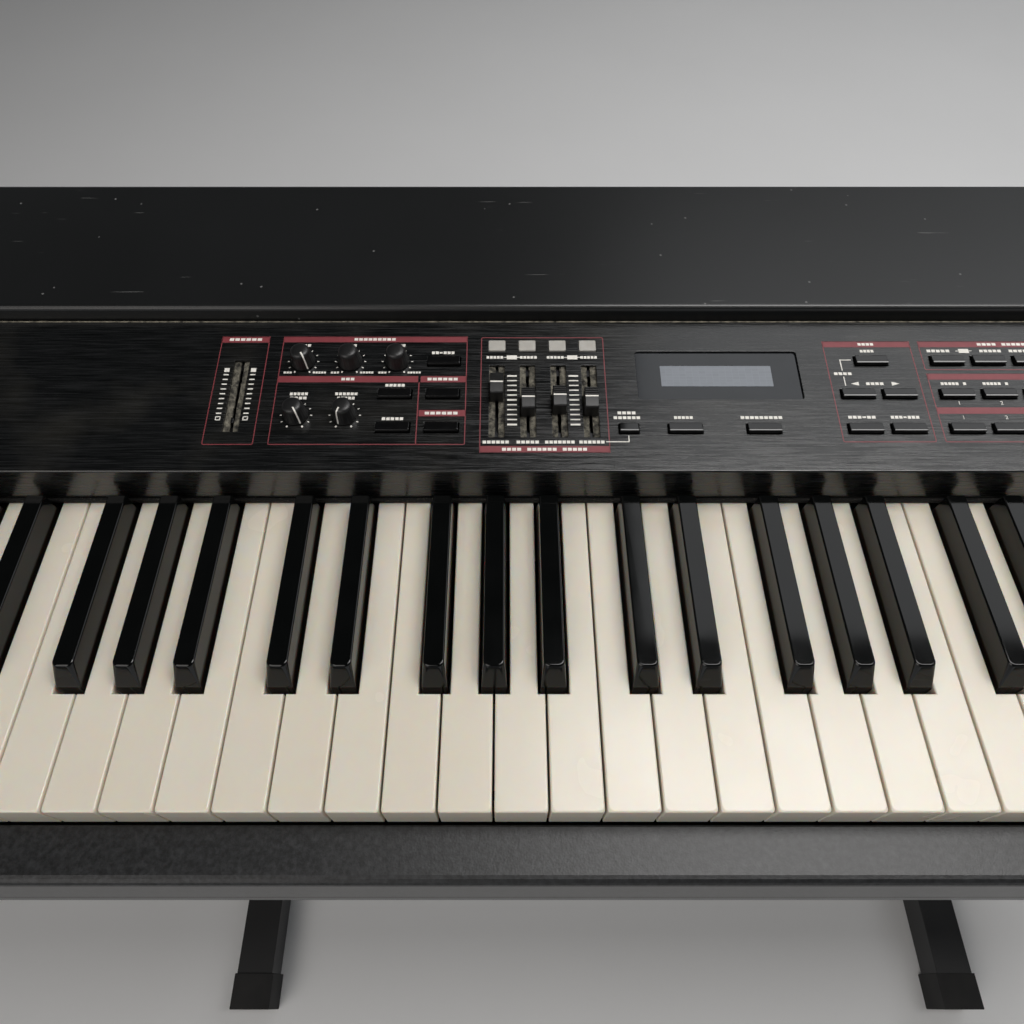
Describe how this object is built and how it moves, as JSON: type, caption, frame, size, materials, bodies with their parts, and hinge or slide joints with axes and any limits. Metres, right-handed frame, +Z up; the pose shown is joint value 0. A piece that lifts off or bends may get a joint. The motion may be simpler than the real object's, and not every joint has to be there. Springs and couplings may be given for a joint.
{
  "type": "digital piano on stand",
  "caption": "Full-size digital stage piano with weighted keys and a brushed control panel, resting on an adjustable tubular stand.",
  "frame": {"origin": "on the floor, below the middle of the overall box", "axes": "+X along the keyboard towards the treble, +Y from the player to the back, +Z up"},
  "size_m": [1.39, 0.48, 0.7792],
  "materials": {
    "case_vinyl": "speckled black vinyl laminate",
    "key_block_plastic": "grained black moulding",
    "cover_paint": "satin charcoal paint on sheet steel",
    "panel_aluminium": "black anodised, brushed along its length",
    "key_ivory": "satin off-white key tops",
    "key_black": "polished black",
    "felt": "dusty wool felt",
    "zinc_steel": "zinc plated sheet",
    "polished_steel": "ground steel rod",
    "board_green": "glass fibre circuit board",
    "smoked_acrylic": "smoked clear window",
    "display_glass": "grey-blue liquid crystal display",
    "dust_shield": "dusty slot felt over the slide bodies",
    "pot_metal": "plated control bodies",
    "supply_metal": "plain",
    "black_plastic": "moulded black",
    "gloss_button": "glossy black",
    "lens_beige": "translucent off-white",
    "rubber_black": "moulded rubber",
    "stand_paint": "black powder coat",
    "screw_black": "black screws"
  },
  "bodies": {
    "crossbars": {"crossbars": "stand_paint"},
    "piano": {"bottom_board": "case_vinyl", "side_boards": "case_vinyl", "key_blocks": "key_block_plastic", "key_slip": "case_vinyl", "rear_cover": "cover_paint", "control_panel": "panel_aluminium", "key_felts": "felt", "key_chassis": "zinc_steel", "key_pivot_rod": "polished_steel", "contact_board": "board_green", "lcd_window": "smoked_acrylic", "lcd_module": "display_glass", "fader_bodies": "dust_shield", "pot_bodies": "pot_metal", "panel_board": "board_green", "main_board": "board_green", "power_supply": "supply_metal", "phone_jacks": "black_plastic", "midi_sockets": "black_plastic", "ac_inlet": "black_plastic", "case_feet": "rubber_black", "case_screws": "screw_black"},
    "left_frame": {"left_frame": "stand_paint", "left_rubbers": "rubber_black"},
    "right_frame": {"right_frame": "stand_paint", "right_rubbers": "rubber_black"},
    "key_c": {"key_c": "key_ivory"},
    "key_c_sharp": {"key_c_sharp": "key_black"},
    "key_d": {"key_d": "key_ivory"},
    "key_d_sharp": {"key_d_sharp": "key_black"},
    "key_e": {"key_e": "key_ivory"},
    "key_f": {"key_f": "key_ivory"},
    "key_f_sharp": {"key_f_sharp": "key_black"},
    "key_g": {"key_g": "key_ivory"},
    "key_g_sharp": {"key_g_sharp": "key_black"},
    "key_a": {"key_a": "key_ivory"},
    "key_a_sharp": {"key_a_sharp": "key_black"},
    "key_b": {"key_b": "key_ivory"},
    "volume_lever": {"volume_lever": "black_plastic"},
    "fader_1": {"fader_1": "black_plastic"},
    "fader_2": {"fader_2": "black_plastic"},
    "fader_3": {"fader_3": "black_plastic"},
    "fader_4": {"fader_4": "black_plastic"},
    "knob_low": {"knob_low": "black_plastic"},
    "knob_mid": {"knob_mid": "black_plastic"},
    "knob_high": {"knob_high": "black_plastic"},
    "knob_rate": {"knob_rate": "black_plastic"},
    "knob_depth": {"knob_depth": "black_plastic"},
    "part_switches": {"part_switches": "lens_beige"},
    "effect_buttons": {"effect_buttons": "gloss_button"},
    "mode_buttons": {"mode_buttons": "gloss_button"},
    "edit_buttons": {"edit_buttons": "gloss_button"},
    "part_select_buttons": {"part_select_buttons": "gloss_button"},
    "tone_buttons": {"tone_buttons": "gloss_button"},
    "variation_buttons": {"variation_buttons": "gloss_button"},
    "bender_lever": {"bender_lever": "black_plastic"},
    "power_switch": {"power_switch": "black_plastic"},
    "clamp_knob_left": {"clamp_knob_left": "black_plastic"},
    "clamp_knob_right": {"clamp_knob_right": "black_plastic"}
  },
  "joints": [
    {"name": "piano_lift", "type": "slide", "parent": "crossbars", "child": "piano", "axis": [0, 0, 1], "range_m": [0, 0.2]},
    {"name": "left_width", "type": "slide", "parent": "crossbars", "child": "left_frame", "axis": [-1, 0, 0], "range_m": [-0.06, 0.08]},
    {"name": "right_width", "type": "slide", "parent": "crossbars", "child": "right_frame", "axis": [1, 0, 0], "range_m": [-0.06, 0.08]},
    {"name": "key_c_press", "type": "hinge", "parent": "piano", "child": "key_c", "pos_m": [0, 0.069, 0.719], "axis": [1, 0, 0], "range_deg": [0, 2.44], "stiffness_Nm_per_rad": 6, "springref_deg": -28.65},
    {"name": "key_c_sharp_press", "type": "hinge", "parent": "piano", "child": "key_c_sharp", "pos_m": [0, 0.069, 0.719], "axis": [1, 0, 0], "range_deg": [0, 2.44], "stiffness_Nm_per_rad": 6, "springref_deg": -28.65},
    {"name": "key_d_press", "type": "hinge", "parent": "piano", "child": "key_d", "pos_m": [0, 0.069, 0.719], "axis": [1, 0, 0], "range_deg": [0, 2.44], "stiffness_Nm_per_rad": 6, "springref_deg": -28.65},
    {"name": "key_d_sharp_press", "type": "hinge", "parent": "piano", "child": "key_d_sharp", "pos_m": [0, 0.069, 0.719], "axis": [1, 0, 0], "range_deg": [0, 2.44], "stiffness_Nm_per_rad": 6, "springref_deg": -28.65},
    {"name": "key_e_press", "type": "hinge", "parent": "piano", "child": "key_e", "pos_m": [0, 0.069, 0.719], "axis": [1, 0, 0], "range_deg": [0, 2.44], "stiffness_Nm_per_rad": 6, "springref_deg": -28.65},
    {"name": "key_f_press", "type": "hinge", "parent": "piano", "child": "key_f", "pos_m": [0, 0.069, 0.719], "axis": [1, 0, 0], "range_deg": [0, 2.44], "stiffness_Nm_per_rad": 6, "springref_deg": -28.65},
    {"name": "key_f_sharp_press", "type": "hinge", "parent": "piano", "child": "key_f_sharp", "pos_m": [0, 0.069, 0.719], "axis": [1, 0, 0], "range_deg": [0, 2.44], "stiffness_Nm_per_rad": 6, "springref_deg": -28.65},
    {"name": "key_g_press", "type": "hinge", "parent": "piano", "child": "key_g", "pos_m": [0, 0.069, 0.719], "axis": [1, 0, 0], "range_deg": [0, 2.44], "stiffness_Nm_per_rad": 6, "springref_deg": -28.65},
    {"name": "key_g_sharp_press", "type": "hinge", "parent": "piano", "child": "key_g_sharp", "pos_m": [0, 0.069, 0.719], "axis": [1, 0, 0], "range_deg": [0, 2.44], "stiffness_Nm_per_rad": 6, "springref_deg": -28.65},
    {"name": "key_a_press", "type": "hinge", "parent": "piano", "child": "key_a", "pos_m": [0, 0.069, 0.719], "axis": [1, 0, 0], "range_deg": [0, 2.44], "stiffness_Nm_per_rad": 6, "springref_deg": -28.65},
    {"name": "key_a_sharp_press", "type": "hinge", "parent": "piano", "child": "key_a_sharp", "pos_m": [0, 0.069, 0.719], "axis": [1, 0, 0], "range_deg": [0, 2.44], "stiffness_Nm_per_rad": 6, "springref_deg": -28.65},
    {"name": "key_b_press", "type": "hinge", "parent": "piano", "child": "key_b", "pos_m": [0, 0.069, 0.719], "axis": [1, 0, 0], "range_deg": [0, 2.44], "stiffness_Nm_per_rad": 6, "springref_deg": -28.65},
    {"name": "fader_1_slide", "type": "slide", "parent": "piano", "child": "fader_1", "axis": [0, 0.9932, 0.1167], "range_m": [-0.0217, 0.0083]},
    {"name": "fader_2_slide", "type": "slide", "parent": "piano", "child": "fader_2", "axis": [0, 0.9932, 0.1167], "range_m": [-0.0126, 0.0174]},
    {"name": "fader_3_slide", "type": "slide", "parent": "piano", "child": "fader_3", "axis": [0, 0.9932, 0.1167], "range_m": [-0.0138, 0.0162]},
    {"name": "fader_4_slide", "type": "slide", "parent": "piano", "child": "fader_4", "axis": [0, 0.9932, 0.1167], "range_m": [-0.0129, 0.0171]},
    {"name": "volume_slide", "type": "slide", "parent": "piano", "child": "volume_lever", "axis": [0, 0.9932, 0.1167], "range_m": [0, 0.03]},
    {"name": "knob_low_turn", "type": "hinge", "parent": "piano", "child": "knob_low", "pos_m": [-0.2195, 0.05405, 0.76726], "axis": [0, -0.1167, 0.9932], "range_deg": [0, 300]},
    {"name": "knob_mid_turn", "type": "hinge", "parent": "piano", "child": "knob_mid", "pos_m": [-0.1946, 0.05405, 0.76726], "axis": [0, -0.1167, 0.9932], "range_deg": [-150, 150]},
    {"name": "knob_high_turn", "type": "hinge", "parent": "piano", "child": "knob_high", "pos_m": [-0.1697, 0.05405, 0.76726], "axis": [0, -0.1167, 0.9932], "range_deg": [-150, 150]},
    {"name": "knob_rate_turn", "type": "hinge", "parent": "piano", "child": "knob_rate", "pos_m": [-0.2195, 0.02058, 0.76333], "axis": [0, -0.1167, 0.9932], "range_deg": [0, 300]},
    {"name": "knob_depth_turn", "type": "hinge", "parent": "piano", "child": "knob_depth", "pos_m": [-0.1946, 0.02058, 0.76333], "axis": [0, -0.1167, 0.9932], "range_deg": [-300, 0]},
    {"name": "part_switches_press", "type": "slide", "parent": "piano", "child": "part_switches", "axis": [0, 0.1167, -0.9932], "range_m": [0, 0.001], "stiffness_N_per_m": 300, "springref_m": -0.002},
    {"name": "effect_buttons_press", "type": "slide", "parent": "piano", "child": "effect_buttons", "axis": [0, 0.1167, -0.9932], "range_m": [0, 0.001], "stiffness_N_per_m": 300, "springref_m": -0.002},
    {"name": "mode_buttons_press", "type": "slide", "parent": "piano", "child": "mode_buttons", "axis": [0, 0.1167, -0.9932], "range_m": [0, 0.001], "stiffness_N_per_m": 300, "springref_m": -0.002},
    {"name": "edit_buttons_press", "type": "slide", "parent": "piano", "child": "edit_buttons", "axis": [0, 0.1167, -0.9932], "range_m": [0, 0.001], "stiffness_N_per_m": 300, "springref_m": -0.002},
    {"name": "part_select_buttons_press", "type": "slide", "parent": "piano", "child": "part_select_buttons", "axis": [0, 0.1167, -0.9932], "range_m": [0, 0.001], "stiffness_N_per_m": 300, "springref_m": -0.002},
    {"name": "tone_buttons_press", "type": "slide", "parent": "piano", "child": "tone_buttons", "axis": [0, 0.1167, -0.9932], "range_m": [0, 0.001], "stiffness_N_per_m": 300, "springref_m": -0.002},
    {"name": "variation_buttons_press", "type": "slide", "parent": "piano", "child": "variation_buttons", "axis": [0, 0.1167, -0.9932], "range_m": [0, 0.001], "stiffness_N_per_m": 300, "springref_m": -0.002},
    {"name": "bender_turn", "type": "hinge", "parent": "piano", "child": "bender_lever", "pos_m": [-0.648, -0.074, 0.733], "axis": [0, 0, 1], "range_deg": [-25, 25], "stiffness_Nm_per_rad": 0.4},
    {"name": "power_rock", "type": "hinge", "parent": "piano", "child": "power_switch", "pos_m": [0.5, 0.1855, 0.715], "axis": [1, 0, 0], "range_deg": [-16, 0]},
    {"name": "clamp_left_turn", "type": "hinge", "parent": "crossbars", "child": "clamp_knob_left", "pos_m": [-0.28, 0.13, 0.632], "axis": [0, 1, 0], "range_deg": [0, 360]},
    {"name": "clamp_right_turn", "type": "hinge", "parent": "crossbars", "child": "clamp_knob_right", "pos_m": [0.28, 0.13, 0.632], "axis": [0, 1, 0], "range_deg": [0, 360]}
  ]
}
